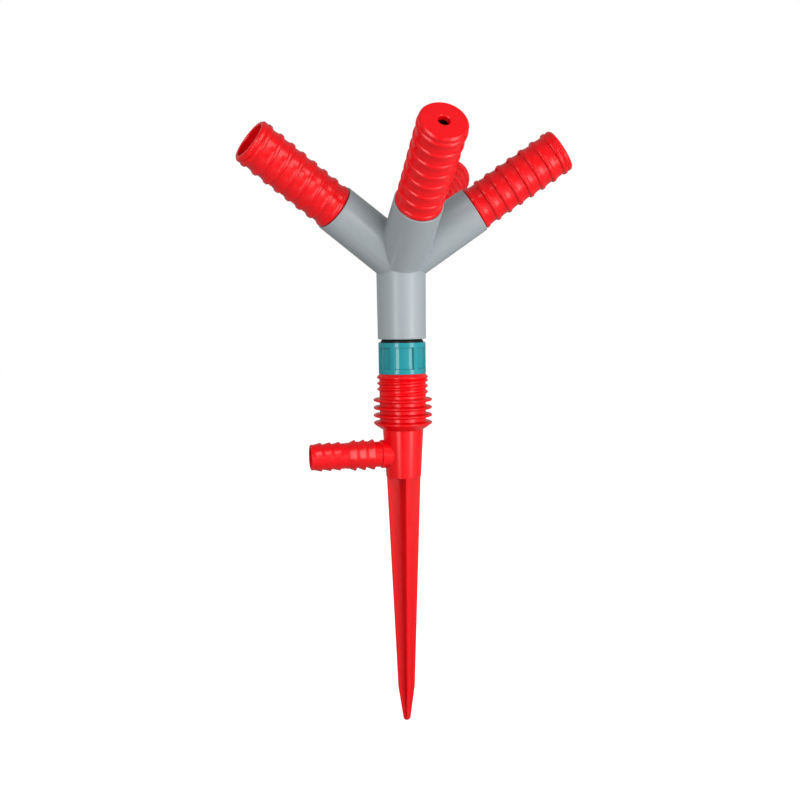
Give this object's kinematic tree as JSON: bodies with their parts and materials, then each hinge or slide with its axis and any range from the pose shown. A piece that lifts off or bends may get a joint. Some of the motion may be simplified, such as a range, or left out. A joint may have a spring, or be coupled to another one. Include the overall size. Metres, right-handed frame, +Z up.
{
  "type": "garden sprinkler on a ground spike",
  "caption": "Ground-spike garden sprinkler: side hose barb, ribbed collar, and a turning head with rising ribbed nozzle tubes spread like a star.",
  "frame": {"origin": "on the stem's axis at the ground line, where the spike meets the cup", "axes": "+Z up along the stem's axis, the hose barb points along -X, the front nozzle tube leans out over -Y"},
  "size_m": [0.16, 0.1535, 0.2954],
  "materials": {
    "red_plastic": "glossy moulded red plastic",
    "grey_plastic": "semi-gloss moulded grey plastic",
    "teal_plastic": "glossy moulded teal plastic",
    "white_plastic": "plain acetal",
    "black_rubber": "smooth black rubber",
    "spring_steel": "stainless snap ring"
  },
  "bodies": {
    "stem": {"stem_body": "red_plastic", "bearing_housing": "teal_plastic", "housing_o_ring": "black_rubber", "head_seal": "black_rubber", "thrust_washer": "white_plastic"},
    "head": {"manifold": "grey_plastic", "spindle": "white_plastic", "spindle_o_ring_upper": "black_rubber", "spindle_o_ring_lower": "black_rubber", "lock_ring": "spring_steel", "nozzle_tube_front": "red_plastic", "nozzle_tube_right": "red_plastic", "nozzle_tube_back_right": "red_plastic", "nozzle_tube_back_left": "red_plastic", "nozzle_tube_left": "red_plastic", "tube_o_ring_front": "black_rubber", "tube_o_ring_right": "black_rubber", "tube_o_ring_back_right": "black_rubber", "tube_o_ring_back_left": "black_rubber", "tube_o_ring_left": "black_rubber"}
  },
  "joints": [
    {"name": "head_spin", "type": "hinge", "parent": "stem", "child": "head", "pos_m": [0, 0, 0.06], "axis": [0, 0, 1], "continuous": true}
  ]
}
